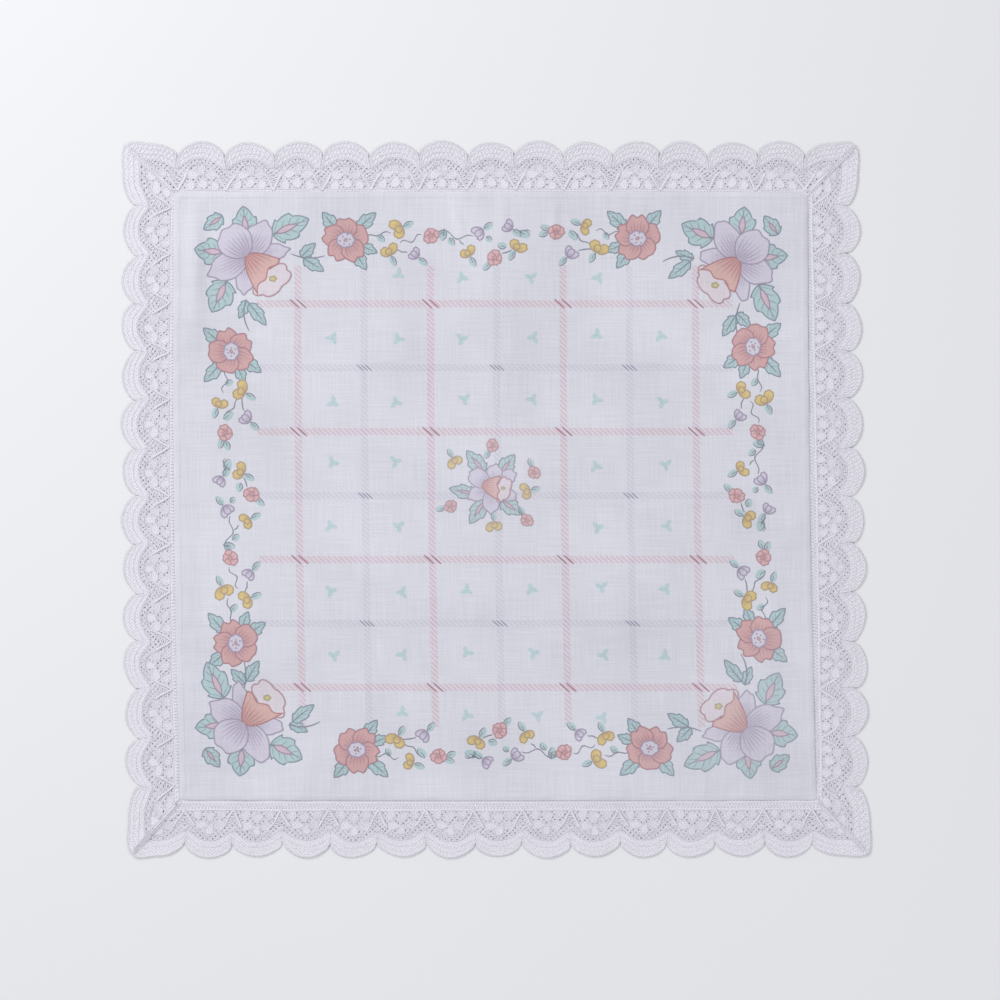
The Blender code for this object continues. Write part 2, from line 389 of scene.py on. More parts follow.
def lace_threads():
    """Paths of one repeat by thickness of thread; every path in an array has the same number of points."""
    heavy, medium, fine = [], [], []
    tie = np.linspace(0, 1, 4)[None]
    both = np.array((-1.0, 1.0))[:, None]
    bar = both * ARCH["half"] * np.linspace(BAR_FROM, 1.0, 13)
    heavy.append(line(bar, arch_depth(ARCH, bar)))
    top = (BAR_FROM + 0.06) * ARCH["half"] * np.linspace(-1, 1, 27)
    medium.append(line(top, arch_depth(ARCH, top))[None])
    fine.append(line(top, arch_depth(ARCH, top) + 0.55)[None])
    wide = ARM_ENDS * ARCH_OUT["half"] * np.linspace(-1, 1, 37)
    medium.append(line(wide, arch_depth(ARCH_OUT, wide))[None])
    wide = ARCH_OUT["half"] * np.linspace(-1, 1, 27)
    fine.append(line(wide, arch_depth(ARCH_OUT, wide) - 0.6)[None])
    step = np.linspace(-0.97, 0.97, 11)[:, None]
    x0, x1 = 5.8 * step, 7.6 * step
    rung = arch_depth(ARCH, x0) * (1 - tie) + arch_depth(ARCH_OUT, x1) * tie
    medium.append(line(x0 * (1 - tie) + x1 * tie, rung))
    # Lattice between the bars: from each bar, at several levels, to the line where two repeats meet
    level = np.linspace(12.3, 16.6, 5)[:, None]
    reach = np.linspace(4.0, ARCH["half"], 60)
    end = np.interp(level, arch_depth(ARCH, reach), reach)
    for side in (-1, 1):
        for lean in (-1.1, 1.1):
            across = side * (HALF - (HALF - end) * (1 - tie))
            medium.append(line(across, level + lean * tie * (HALF - end) / 2.5))
    # Close-worked pillar up to the notch between two scallops
    pillar = np.linspace(0.02, 0.98, 9)[None]
    medium.append(fan_curve(pillar, 0.955 * both))
    fine.append(fan_curve(pillar, 0.89 * both))
    veins = np.array((-0.62, -0.22, 0.22, 0.62))[:, None]
    for petal in PETALS:
        medium.append(petal_ring(petal, np.linspace(0, 2 * PI, 25))[None])
        fine.append(petal_ring(petal, np.linspace(PI, 0, 9)[None], side=veins))
    ring = np.linspace(0, 2 * PI, 13)
    medium.append(line(0.75 * np.cos(ring), 12.05 + 0.55 * np.sin(ring))[None])
    for row in TIES:
        across = row["x0"] + (row["x1"] - row["x0"]) * tie
        medium.append(line(both * across, row["d0"] + (row["d1"] - row["d0"]) * tie))
    # The fan's slanting mesh and its edge
    start = np.linspace(-1.08, 1.08, 14)[:, None]
    rise = np.linspace(0.02, 0.97, 6)[None]
    for lean in (-0.17, 0.17):
        fine.append(fan_curve(rise, np.clip(start + lean * (2 * rise - 1), -1, 1)))
    u = np.linspace(-1, 1, 45)
    zigzag = 0.04 * np.cos(PI * np.arange(45))
    medium.append(fan_curve(0.36 + 0.5 * zigzag, u)[None])
    fine.append(fan_curve(0.68 + zigzag, u)[None])
    medium.append(fan_curve(0.95, np.linspace(-0.97, 0.97, 29))[None])
    fine.append(fan_curve(1.03 + 0.8 * zigzag, u)[None])
    foot = np.linspace(-HALF, HALF, 31)
    medium.append(line(foot, 17.7)[None])
    medium.append(line(foot, 20.3)[None])
    loops = np.linspace(-HALF, HALF, 61)
    medium.append(line(loops, 19.2 + 0.95 * np.cos(PI * np.arange(61) / 2 + 0.5))[None])
    return heavy, medium, fine


def seam_direction(side):
    """The way along one side of the cloth, as a level direction."""
    start, end = (np.array(COTTON_CORNERS[name]) for name in SIDES[side][:2])
    return np.append((end - start) / np.hypot(*(end - start)), 0.0)


def laid(side, shape, lift):
    """One shape of the repeat laid once for every scallop of a side, and its uv in mm."""
    q = np.arange(SIDES[side][2] + 2)[:, None, None] + 0.5 + shape[None, ..., 0] / PITCH
    depth = np.broadcast_to(shape[None, ..., 1], q.shape)
    return lace_point(side, q, depth, lift), np.stack([q * PITCH, depth], axis=-1)


def mitres(side):
    """Both ends of a side, in scallops from its start, and which way is inward there."""
    return (0.0, 1), (SIDES[side][2] + 2.0, -1)


# Heavy, medium and fine threads: width, height, corners round the thread, and lift
WEIGHTS = ((0.80, 0.44, 4, 0.16), (0.36, 0.26, 4, 0.04), (0.24, 0.16, 3, 0.0))
SHORTEST = 0.3  # threads that the mitre cuts shorter than this are left out
MITRE_FROM = 4.6  # depth at which the mitre's seam starts


def lace_cords(side, coating):
    """All threads of one side: each path of the repeat is laid once for every scallop."""
    parts = []
    for paths, (width, height, corners, lift) in zip(lace_threads(), WEIGHTS):
        for path in paths:
            points = laid(side, path, lift)[0].reshape(-1, path.shape[-2], 3)
            kept = np.ptp(points[..., :2], axis=1).max(axis=-1) > SHORTEST
            parts.append(cords(points[kept], width, height, corners))
    # The mitre's two edges, overcast together: a thin cord down each and slanting stitches
    seam = np.linspace(MITRE_FROM, 19.5, 40)
    stitch = np.linspace(0, 1, 4)[None]
    for end, inward in mitres(side):
        edge, slope = (lace_point(side, end + 0 * seam, seam + shift, 0.12) for shift in (0.0, 0.45))
        toward = inward * seam_direction(side)
        parts.append(cords((edge + 1.1 * toward)[None], 0.3, 0.24, 4))
        reach = edge[:, None] * (1 - stitch[..., None]) + (slope[:, None] + 1.2 * toward) * stitch[..., None]
        parts.append(cords(reach, 0.2, 0.18, 3))
    points, quads, uv = join_grids(parts)
    return build(f"lace_cords_{side}", points, quads, coating, uv)


def lace_clothwork(coating):
    """The close-worked areas under the threads: petals, fans and the foot that the hem is sewn to."""
    parts = []
    turn = np.linspace(0, 2 * PI, 21)[None]
    rings = np.array((0.02, 0.5, 1.0))[:, None]
    u, v = np.meshgrid(np.linspace(-1, 1, 25), np.linspace(0, 1, 5))
    foot_x, foot_d = np.meshgrid(np.linspace(-HALF, HALF, 13), np.linspace(17.5, 23.4, 4))
    shapes = [fan_curve(v, u), line(foot_x, foot_d)]
    shapes += [petal_ring(petal, turn, share=rings) for petal in PETALS]
    for side in SIDES:
        parts += [laid(side, shape, -0.02) for shape in shapes]
        # The mitre's seam allowance, a close strip along the diagonal
        depth, wide = np.meshgrid(np.linspace(MITRE_FROM, 21.0, 23), np.linspace(0, 1.2, 3), indexing="ij")
        for end, inward in mitres(side):
            strip = lace_point(side, end + 0 * depth, depth, 0.02)
            strip = strip + inward * wide[..., None] * seam_direction(side)
            parts.append((strip[None], np.stack([wide, depth], axis=-1)[None]))
    points, quads, uv = join_grids(parts)
    return build("lace_clothwork", points, quads, coating, uv)


def lace_ground(coating):
    """The open net that the whole pattern stands on, from the arches to the foot."""
    net = line(*np.meshgrid(np.linspace(-HALF, HALF, 13), np.linspace(5.4, 18.2, 8)))
    points, quads, uv = join_grids([laid(side, net, -0.10) for side in SIDES])
    return build("lace_ground", points, quads, coating, uv)


# Shader helpers


def add(tree, kind, inputs=None, **settings):
    """A new node with its settings, and its inputs linked or set by name or number."""
    node = tree.nodes.new(kind)
    for name, value in settings.items():
        setattr(node, name, value)
    for name, value in (inputs or {}).items():
        socket = node.inputs[name]
        if isinstance(value, bpy.types.NodeSocket):
            tree.links.new(value, socket)
        else:
            socket.default_value = value
    return node


def calc(tree, operation, *values):
    return add(tree, "ShaderNodeMath", dict(enumerate(values)), operation=operation).outputs[0]


def ramp(tree, value, low, high):
    """0 below low and 1 above high, or the other way round when low is the larger."""
    settings = {"Value": value, "From Min": low, "From Max": high}
    return add(tree, "ShaderNodeMapRange", settings, clamp=True).outputs["Result"]


def split(tree, vector):
    """The x, y and z of a vector."""
    return add(tree, "ShaderNodeSeparateXYZ", {0: vector}).outputs


def noise(tree, vector, scale, detail, roughness=0.5, dimensions="3D"):
    inputs = {"Vector": vector, "Scale": scale, "Detail": detail, "Roughness": roughness}
    return add(tree, "ShaderNodeTexNoise", inputs, noise_dimensions=dimensions).outputs[0]


def flat_place(tree):
    """The piece's own uv."""
    return add(tree, "ShaderNodeUVMap", uv_map="flat").outputs[0]


def object_place(tree):
    return add(tree, "ShaderNodeTexCoord").outputs["Object"]


def mix(tree, share, first, second, blend="MIX"):
    node = add(tree, "ShaderNodeMix", data_type="RGBA", blend_type=blend)
    for index, value in ((0, share), (6, first), (7, second)):
        if isinstance(value, bpy.types.NodeSocket):
            tree.links.new(value, node.inputs[index])
        else:
            node.inputs[index].default_value = value if index == 0 else (*value, 1.0)
    return node.outputs[2]


def new_group(name, inputs, outputs):
    """A shader group with named inputs (name, type, value) and outputs (name, type)."""
    group = bpy.data.node_groups.new(name, "ShaderNodeTree")
    for label, kind, value in inputs:
        socket = group.interface.new_socket(label, in_out="INPUT", socket_type=kind)
        if value is not None:
            socket.default_value = value
    for label, kind in outputs:
        group.interface.new_socket(label, in_out="OUTPUT", socket_type=kind)
    return group, group.nodes.new("NodeGroupInput").outputs, group.nodes.new("NodeGroupOutput").inputs


VECTOR, FLOAT = "NodeSocketVector", "NodeSocketFloat"


def weave_group():
    """Plain weave: threads across and along, with thicker slubs and a soft unevenness. Its shade is lighter where the
    weave stands higher, as painted shade of its relief. Coordinates in metres.
    """
    group, given, result = new_group(
        "plain_weave",
        (("Vector", VECTOR, None), ("Threads per metre", FLOAT, 2600.0), ("Slub", FLOAT, 0.5)),
        (("Height", FLOAT), ("Shade", FLOAT)),
    )
    waves = []
    for axis in split(group, given["Vector"])[:2]:
        threads = calc(group, "MULTIPLY", axis, given["Threads per metre"])
        waves.append(calc(group, "SINE", calc(group, "MULTIPLY", threads, PI)))
    over = calc(group, "MULTIPLY", *waves)
    slubs = []
    for scale in ((60.0, 2400.0, 0.0), (2400.0, 60.0, 0.0)):
        placed = add(group, "ShaderNodeMapping", {"Vector": given["Vector"], "Scale": scale}).outputs[0]
        slubs.append(noise(group, placed, 1.0, 2.0, 0.6, "2D"))
    slub = calc(group, "MULTIPLY", calc(group, "SUBTRACT", calc(group, "ADD", *slubs), 1.0), given["Slub"])
    cloud = noise(group, given["Vector"], 26.0, 3.0, dimensions="2D")
    height = calc(group, "ADD", calc(group, "MULTIPLY", over, 0.3), slub)
    cloudy = calc(group, "MULTIPLY", calc(group, "SUBTRACT", cloud, 0.5), 0.20)
    # The shade rises with the slubs and the weave's crossings, which also stand higher in the bump: painted highlight
    # and shade of the weave's relief, over a random cloudiness of tone
    shade = calc(group, "ADD", calc(group, "MULTIPLY", slub, 0.36), cloudy)
    shade = calc(group, "ADD", calc(group, "ADD", shade, calc(group, "MULTIPLY", over, 0.02)), 1.0)
    group.links.new(height, result["Height"])
    group.links.new(shade, result["Shade"])
    return group


# The plaid's bands each way, in mm: the middle one, their spacing, how far they reach and the middle of that reach
PLAID_S = {"start": 2.25, "pitch": 49.65, "reach": 86.4, "middle": 0.0}
PLAID_T = {"start": 0.2, "pitch": 47.9, "reach": 89.0, "middle": 1.5}


def plaid_group():
    """Plaid of hatched bands: how strongly each ink lies at a point in metres. The strokes run down to the right."""
    group, given, result = new_group(
        "hatched_plaid",
        (("Vector", VECTOR, None), ("Band", FLOAT, 0.00275), ("Stroke", FLOAT, 0.00186)),
        (("Pink", FLOAT), ("Lilac", FLOAT)),
    )
    x, y, _ = split(group, given["Vector"])
    half = calc(group, "MULTIPLY", given["Band"], 0.5)
    slant = calc(group, "DIVIDE", calc(group, "ADD", calc(group, "MULTIPLY", x, 0.95), y), given["Stroke"])
    hatch = ramp(group, calc(group, "PINGPONG", slant, 0.5), 0.20, 0.30)
    bands = {}
    for number, (axis, row, other) in enumerate(((x, PLAID_S, y), (y, PLAID_T, x))):
        start, pitch, reach, middle = (value * MM for value in row.values())
        place = calc(group, "DIVIDE", calc(group, "SUBTRACT", axis, start), pitch)
        to_lilac = calc(group, "MULTIPLY", calc(group, "PINGPONG", place, 0.5), pitch)
        to_pink = calc(group, "SUBTRACT", 0.5 * pitch, to_lilac)
        off_middle = calc(group, "ABSOLUTE", calc(group, "SUBTRACT", other, middle))
        within = calc(group, "LESS_THAN", off_middle, reach)
        from_start = calc(group, "ABSOLUTE", calc(group, "SUBTRACT", axis, start))
        within = calc(group, "MULTIPLY", within, calc(group, "LESS_THAN", from_start, 1.9 * pitch))
        for ink, away in (("Pink", to_pink), ("Lilac", to_lilac)):
            edge = calc(group, "SUBTRACT", half, away)
            bands[ink, number] = calc(group, "MULTIPLY", ramp(group, edge, -0.00008, 0.00012), within)
    for ink in ("Pink", "Lilac"):
        either = calc(group, "MAXIMUM", bands[ink, 0], bands[ink, 1])
        wash = calc(group, "ADD", calc(group, "MULTIPLY", hatch, 0.85), 0.15)
        group.links.new(calc(group, "MULTIPLY", either, wash), result[ink])
    return group


def net_group():
    """Fine net: holes set in slanting rows, with the thread between them raised. Coordinates in mm."""
    group, given, result = new_group(
        "fine_net",
        (("Vector", VECTOR, None), ("Hole pitch", FLOAT, 0.62), ("Hole share", FLOAT, 0.42)),
        (("Alpha", FLOAT), ("Height", FLOAT)),
    )
    x, y, _ = split(group, given["Vector"])
    slanted = (calc(group, "ADD", x, y), calc(group, "SUBTRACT", x, y))
    waves = []
    for axis in slanted:
        holes = calc(group, "DIVIDE", axis, given["Hole pitch"])
        waves.append(calc(group, "COSINE", calc(group, "MULTIPLY", holes, 1.414 * PI)))
    both = calc(group, "MULTIPLY", calc(group, "ADD", *waves), 0.5)
    hole = calc(group, "SUBTRACT", both, calc(group, "SUBTRACT", 1.0, given["Hole share"]))
    group.links.new(ramp(group, hole, 0.24, -0.12), result["Alpha"])
    group.links.new(calc(group, "MULTIPLY", both, -1.0), result["Height"])
    return group


WEAVE, PLAID, NET = weave_group(), plaid_group(), net_group()


def new_material(name, colour, roughness, sheen):
    """A material with its shader, and the shader's constant settings put straight on its sockets."""
    made = bpy.data.materials.new(name)
    made.use_nodes = True
    tree = made.node_tree
    shader = tree.nodes["Principled BSDF"]
    shader.inputs["Base Color"].default_value = (*colour, 1.0)
    shader.inputs["Roughness"].default_value = roughness
    shader.inputs["Sheen Weight"].default_value = sheen
    shader.inputs["Sheen Roughness"].default_value = 0.5
    shader.inputs["Specular IOR Level"].default_value = 0.3
    return made, tree, shader


def grouped(tree, group, inputs):
    node = tree.nodes.new("ShaderNodeGroup")
    node.node_tree = group
    for name, value in inputs.items():
        if isinstance(value, bpy.types.NodeSocket):
            tree.links.new(value, node.inputs[name])
        else:
            node.inputs[name].default_value = value
    return node.outputs


def bump(tree, shader, height, strength, distance):
    settings = {"Height": height, "Strength": strength, "Distance": distance}
    node = add(tree, "ShaderNodeBump", settings)
    tree.links.new(node.outputs[0], shader.inputs["Normal"])


def tinted(tree, shader, colour, shade):
    """The base colour: one colour, made lighter or darker by a shade."""
    grey = add(tree, "ShaderNodeCombineColor", {0: shade, 1: shade, 2: shade}).outputs[0]
    tree.links.new(mix(tree, 1.0, colour, grey, "MULTIPLY"), shader.inputs["Base Color"])


PINK_INK, LILAC_INK = srgb(214, 172, 186), srgb(190, 184, 204)


def cotton_material():
    made, tree, shader = new_material("printed_cotton_weave", COTTON_WHITE, 0.85, 0.15)
    flat = flat_place(tree)
    weave = grouped(tree, WEAVE, {"Vector": flat})
    plaid = grouped(tree, PLAID, {"Vector": flat})
    colour = COTTON_WHITE
    for ink, tint, strength in (("Lilac", LILAC_INK, 0.32), ("Pink", PINK_INK, 0.52)):
        colour = mix(tree, calc(tree, "MULTIPLY", plaid[ink], strength), colour, tint)
    tinted(tree, shader, colour, weave["Shade"])
    bump(tree, shader, weave["Height"], 0.3, 0.00005)
    return made


SHAPE_LAYERS = ("fill", "line", "edge", "veins")


def ink_material():
    """Printed shapes: fill, outline and veins from the piece's own layers, over the cotton's weave.

    The uv runs across (-1 to 1) and along (0 to 1) each petal or leaf; 'edge' is the distance in mm to its outline,
    'veins' the number of lines drawn in it (negative for a leaf's midrib and side veins)."""
    made, tree, shader = new_material("printed_shapes", COTTON_WHITE, 0.85, 0.15)
    kept = [add(tree, "ShaderNodeAttribute", attribute_name=name).outputs for name in SHAPE_LAYERS]
    fill, drawn, edge, veins = kept
    across, along, _ = split(tree, flat_place(tree))
    place = object_place(tree)
    weave = grouped(tree, WEAVE, {"Vector": place})
    outline = ramp(tree, edge["Fac"], 0.62, 0.30)
    count = calc(tree, "MAXIMUM", veins["Fac"], 0.0)
    stripes = calc(tree, "MULTIPLY", calc(tree, "ADD", across, 1.0), calc(tree, "MULTIPLY", count, 0.5))
    stripe = ramp(tree, calc(tree, "PINGPONG", stripes, 0.5), 0.20, 0.05)
    fade = calc(tree, "MULTIPLY", ramp(tree, along, 0.80, 0.35), ramp(tree, count, 0.2, 0.8))
    radial = calc(tree, "MULTIPLY", stripe, fade)
    leafy = calc(tree, "LESS_THAN", veins["Fac"], -0.5)
    aside = calc(tree, "ABSOLUTE", across)
    taper = calc(tree, "MULTIPLY", calc(tree, "SUBTRACT", 1.0, along), 0.10)
    rib = ramp(tree, calc(tree, "SUBTRACT", aside, taper), 0.08, 0.0)
    slant = calc(tree, "SUBTRACT", calc(tree, "MULTIPLY", along, 5.0), calc(tree, "MULTIPLY", aside, 1.6))
    twigs = calc(tree, "PINGPONG", slant, 0.5)
    twigs = calc(tree, "MULTIPLY", ramp(tree, twigs, 0.12, 0.03), ramp(tree, aside, 0.75, 0.5))
    leaf_lines = calc(tree, "MULTIPLY", calc(tree, "MAXIMUM", rib, calc(tree, "MULTIPLY", twigs, 0.9)), leafy)
    lines = calc(tree, "MAXIMUM", calc(tree, "MAXIMUM", radial, leaf_lines), outline)
    deeper = mix(tree, ramp(tree, along, 0.70, 0.05), fill["Color"], drawn["Color"])
    body = mix(tree, calc(tree, "MULTIPLY", ramp(tree, count, 0.2, 0.8), 0.5), fill["Color"], deeper)
    colour = mix(tree, calc(tree, "MULTIPLY", lines, 0.85), body, drawn["Color"])
    # The ink lies unevenly on the threads
    blotch = noise(tree, place, 900.0, 3.0)
    tinted(tree, shader, colour, calc(tree, "MULTIPLY", weave["Shade"], ramp(tree, blotch, -8.0, 0.9)))
    bump(tree, shader, weave["Height"], 0.3, 0.00005)
    return made


def thread_material():
    """Twisted thread: fine slanting plies round each cord, their bands painted a little lighter and darker as painted
    shade of the plies, and a soft unevenness of colour.
    """
    made, tree, shader = new_material("lace_thread", LACE_WHITE, 0.8, 0.1)
    along, round_, _ = split(tree, flat_place(tree))
    turns = calc(tree, "ADD", calc(tree, "DIVIDE", along, 0.55), round_)
    twist = calc(tree, "SINE", calc(tree, "MULTIPLY", turns, 2 * PI))
    cloud = noise(tree, object_place(tree), 140.0, 2.0)
    cloudy = calc(tree, "ADD", calc(tree, "MULTIPLY", cloud, 0.16), 0.90)
    # The plies' wave lightens and darkens the colour a little: painted shade along the grooves between the plies
    tinted(tree, shader, LACE_WHITE, calc(tree, "ADD", calc(tree, "MULTIPLY", twist, 0.03), cloudy))
    bump(tree, shader, twist, 0.4, 0.00005)
    return made


def net_material(name, colour, hole_pitch, hole_share):
    made, tree, shader = new_material(name, colour, 0.85, 0.05)
    flat = flat_place(tree)
    net = grouped(tree, NET, {"Vector": flat, "Hole pitch": hole_pitch, "Hole share": hole_share})
    tree.links.new(net["Alpha"], shader.inputs["Alpha"])
    bump(tree, shader, net["Height"], 0.6, 0.00008)
    return made


def plain_material(name, colour, roughness):
    made, tree, shader = new_material(name, colour, roughness, 0.0)
    share = calc(tree, "MULTIPLY", noise(tree, object_place(tree), 6.0, 2.0), 0.04)
    tree.links.new(mix(tree, share, colour, (0.5, 0.5, 0.5)), shader.inputs["Base Color"])
    return made


# The printed flowers: fill and line of each kind of shape, then the colours drawn without a line

LEAF = (srgb(188, 211, 213), srgb(134, 142, 160))
FLAME = (srgb(216, 194, 207), srgb(160, 140, 156))
LILAC = (srgb(218, 212, 227), srgb(163, 151, 175))
BELL = (srgb(222, 185, 180), srgb(180, 127, 132))
MOUTH = (srgb(228, 218, 226), srgb(180, 136, 148))
DOT = (srgb(213, 200, 150), srgb(172, 162, 140))
BLOSSOM = (srgb(217, 176, 176), srgb(173, 132, 144))
HEART = (srgb(219, 212, 224), srgb(160, 148, 176))
YELLOW = (srgb(227, 203, 142), srgb(180, 158, 138))
CORAL = (srgb(229, 190, 190), srgb(185, 146, 154))
SPRIG = srgb(197, 218, 222)
STEM = srgb(150, 153, 167)
CROSS_PINK, CROSS_LILAC = srgb(184, 142, 156), srgb(172, 166, 186)

printed = []


def away_from(x, y, rims):
    """Distance of each point to the outline, which is read at four steps between each two of its points."""
    found = []
    for rim in rims:
        step = np.linspace(0, len(rim[0]) - 1, 4 * len(rim[0]) - 3)
        found.append(np.stack([np.interp(step, np.arange(len(part)), part) for part in rim], axis=-1))
    outline = np.concatenate(found)
    return np.hypot(x[..., None] - outline[:, 0], y[..., None] - outline[:, 1]).min(axis=-1)


def draw(at, turn, x, y, uv, inks, layer, veins=0.0, outlined=True, closed=False):
    """Keep one shape, given as a grid of lengths ahead (x) and to the left (y) of the direction 'turn'."""
    x, y = np.broadcast_arrays(x, y)
    rims = [(x[-1], y[-1])] if closed else [(x[-1], y[-1]), (x[:, 0], y[:, 0]), (x[:, -1], y[:, -1])]
    edge = away_from(x, y, rims) if outlined else np.full(x.shape, 9.0)
    angle = np.radians(turn)
    s = at[0] + x * np.cos(angle) - y * np.sin(angle)
    t = at[1] + x * np.sin(angle) + y * np.cos(angle)
    printed.append({"s": s, "t": t, "uv": np.stack(np.broadcast_arrays(*uv), axis=-1), "edge": edge,
                    "fill": inks[0], "line": inks[1], "veins": veins, "layer": layer})


def polar(at, turn, reach):
    angle = np.radians(turn)
    return (at[0] + reach * np.cos(angle), at[1] + reach * np.sin(angle))


def rotated(point, turn, about=(0.0, 0.0)):
    angle = np.radians(turn)
    return (about[0] + point[0] * np.cos(angle) - point[1] * np.sin(angle),
            about[1] + point[0] * np.sin(angle) + point[1] * np.cos(angle))


def petal(at, turn, length, width, inks, layer, veins, broad, point, notched=0.0, size=(9, 21)):
    """One petal: it widens from its foot to 'broad' of its length and ends in a curve that runs back by |s|^point.

    A notch may be set in the middle of its end, and two soft waves ruffle it."""
    t = 1 - (1 - np.linspace(0.0, 1.0, size[0])) ** 1.6
    t = t[:, None]
    s = np.sin(0.5 * PI * np.linspace(-1.0, 1.0, size[1]))[None]
    end = broad + (1 - broad) * np.sqrt(np.clip(1 - np.abs(s) ** point, 0.0, 1.0))
    end = end * (1 - notched * np.exp(-((s / 0.28) ** 2))) + 0.03 * np.sin(7.5 * s + 0.1 * turn)
    y = 0.5 * width * s * (1 - (1 - t) ** 2) ** 0.7
    draw(at, turn, length * t * end, y, (s, t), inks, layer, veins)


def blade(at, turn, length, width, inks, layer, veins=0.0, full=0.70, point=0.78, teeth=0.0, bend=0.0,
          outlined=True, size=(9, 7)):
    """One pointed leaf or petal: half width is width / 2 times sin(pi t^full)^point, with teeth down its sides."""
    t = 0.5 - 0.5 * np.cos(PI * np.linspace(0.0, 1.0, size[0]))[:, None]
    s = np.sin(0.5 * PI * np.linspace(-1.0, 1.0, size[1]))[None]
    half = 0.5 * width * np.clip(np.sin(PI * t**full), 0.0, 1.0) ** point
    if teeth:
        half = half * (1 + 0.32 * ((t * teeth + 0.35) % 1.0 - 0.6) * ease(t * 6) * ease((1 - t) * 5))
    draw(at, turn, length * t, s * half + bend * length * t * (1 - t), (s, t), inks, layer, veins, outlined)


def disc(at, radius, inks, layer, lobes=0, ruffle=0.1, squash=1.0, turn=0.0):
    """A round or lobed spot: its reach is radius (1 + ruffle cos(lobes a)), drawn from its middle outwards."""
    r = np.array((0.02, 0.45, 0.75, 0.9, 1.0))[:, None]
    a = np.linspace(0, 2 * PI, 41 if radius > 2 else 21)[None]
    reach = radius * (1 + ruffle * np.cos(lobes * a))
    uv = (2 * (a / PI - 1), 0.9 * r)
    draw(at, turn, r * reach * np.cos(a), r * reach * np.sin(a) * squash, uv, inks, layer, closed=True)


def stroke(start, end, width, colour, bend=0.0, wave=0.0, layer=0):
    """A line between two points, bowed by 'bend' and waved by 'wave' times its length, thinner at both ends."""
    run = np.array(end, float) - np.array(start, float)
    length = np.hypot(*run)
    t = np.linspace(0, 1, 13)[:, None]
    s = np.array((-1.0, 0.0, 1.0))[None]
    swing = bend * 4 * t * (1 - t) + wave * np.sin(3 * PI * t)
    y = length * swing + s * 0.5 * width * (0.45 + 0.55 * np.sqrt(np.sin(PI * t).clip(0)))
    turn = np.degrees(np.arctan2(run[1], run[0]))
    draw(start, turn, length * t, y, (s, t), (colour, colour), layer, outlined=False)


def leaf(at, turn, length, width, layer, flame=True, bend=0.05):
    """A toothed leaf with a pale flame along its midrib."""
    blade(at, turn, length, width, LEAF, layer, veins=-1.0, teeth=2.7, bend=bend, size=(31, 9))
    if flame:
        foot = polar(at, turn, 0.10 * length)
        blade(foot, turn, 0.60 * length, 0.26 * width, FLAME, layer + 1, full=0.85, bend=bend, size=(11, 7))


def loose_leaf(at, turn, length, width, layer=0):
    """A small leaf whose colour is printed a little off its lines: the fill, one outlined side and a midrib."""
    fill = (LEAF[0], LEAF[0])
    blade(polar(at, turn - 80, 0.45), turn, length, width, fill, layer, full=0.8, point=0.7, outlined=False)
    stroke(at, polar(at, turn, length), 0.44, STEM, bend=0.42 * width / length, layer=layer + 1)
    stroke(at, polar(at, turn, 0.62 * length), 0.34, STEM, bend=-0.06, layer=layer + 1)


# The corner flower as it lies in the top left corner, from the trumpet's throat: lengths in mm, turns in degrees
CORNER_LEAVES = table(
    "x y turn long wide",
    (-0.7, 7.5, 97, 11.6, 9.8),
    (9.0, 8.0, 24, 15.0, 10.4),
    (-9.0, 1.5, 174, 11.4, 10.6),
    (-8.2, -9.0, 245, 13.2, 11.0),
    (-9.8, 15.4, 217, 9.0, 6.4),
)
CORNER_PETALS = table(
    "turn long wide broad point",
    (10, 15.9, 6.6, 0.55, 1.2),
    (262, 14.4, 7.4, 0.55, 1.6),
    (205, 16.8, 10.4, 0.50, 1.2),
    (62, 15.2, 10.6, 0.50, 1.2),
    (132, 13.8, 13.2, 0.55, 2.6),
)
# Twigs beside it: where they leave and end, and the leaves on them
CORNER_TWIGS = table(
    "x0 y0 x1 y1 bend",
    (15.8, 1.0, 28.6, 0.2, -0.09),
    (-0.8, -16.0, 0.4, -28.0, -0.12),
)
TWIG_LEAVES = table(
    "x y turn long wide",
    (19.6, -0.4, 44, 7.8, 4.8),
    (20.6, -0.8, -32, 9.2, 5.2),
    (-0.5, -16.4, 246, 7.6, 4.4),
    (0.2, -17.6, -52, 10.6, 5.2),
)
# The throat's place in each corner, how far the drawing is turned there, and how far its first twig slides out
CORNERS = table(
    "s t turn slide",
    (-90.8, 89.8, 0, 0.0),
    (92.4, 88.2, -90, 0.0),
    (92.4, -87.1, 180, 0.0),
    (-93.7, -84.8, 90, -5.2),
)
TRUMPET_TURN = -45


def trumpet(at, turn, size, layer):
    """A flared bell, half width 0.9 + 6.9 t^0.6, whose ragged lip lies over a wide frilled mouth."""
    r = np.array((0.02, 0.4, 0.7, 0.85, 0.93, 1.0))[:, None]
    a = np.linspace(0, 2 * PI, 61)[None]
    frill = 0.84 + 0.22 * np.abs(np.cos(2.5 * a + 0.9)) ** 0.8
    mouth = rotated((12.6 * size, -0.2 * size), turn, at)
    x, y = 4.9 * size * r * frill * np.cos(a), 8.1 * size * r * frill * np.sin(a)
    draw(mouth, turn - 8, x, y, (a / PI - 1, r), MOUTH, layer, closed=True)
    disc(rotated((12.4 * size, 0.6 * size), turn, at), 1.5 * size, DOT, layer + 1, lobes=5, squash=0.8)
    t = 0.5 - 0.5 * np.cos(PI * np.linspace(0.0, 1.0, 17))[:, None]
    s = np.sin(0.5 * PI * np.linspace(-1.0, 1.0, 25))[None]
    lip = 10.4 - 1.5 * s + 0.9 * s * s + 0.75 * np.cos(7.0 * s + 1.2)
    x = size * t * (lip * t + 10.6 * (1 - t)) - 0.6 * size
    draw(at, turn, x, size * s * (0.9 + 6.9 * t**0.6), (s, t), BELL, layer + 2, veins=7.0)


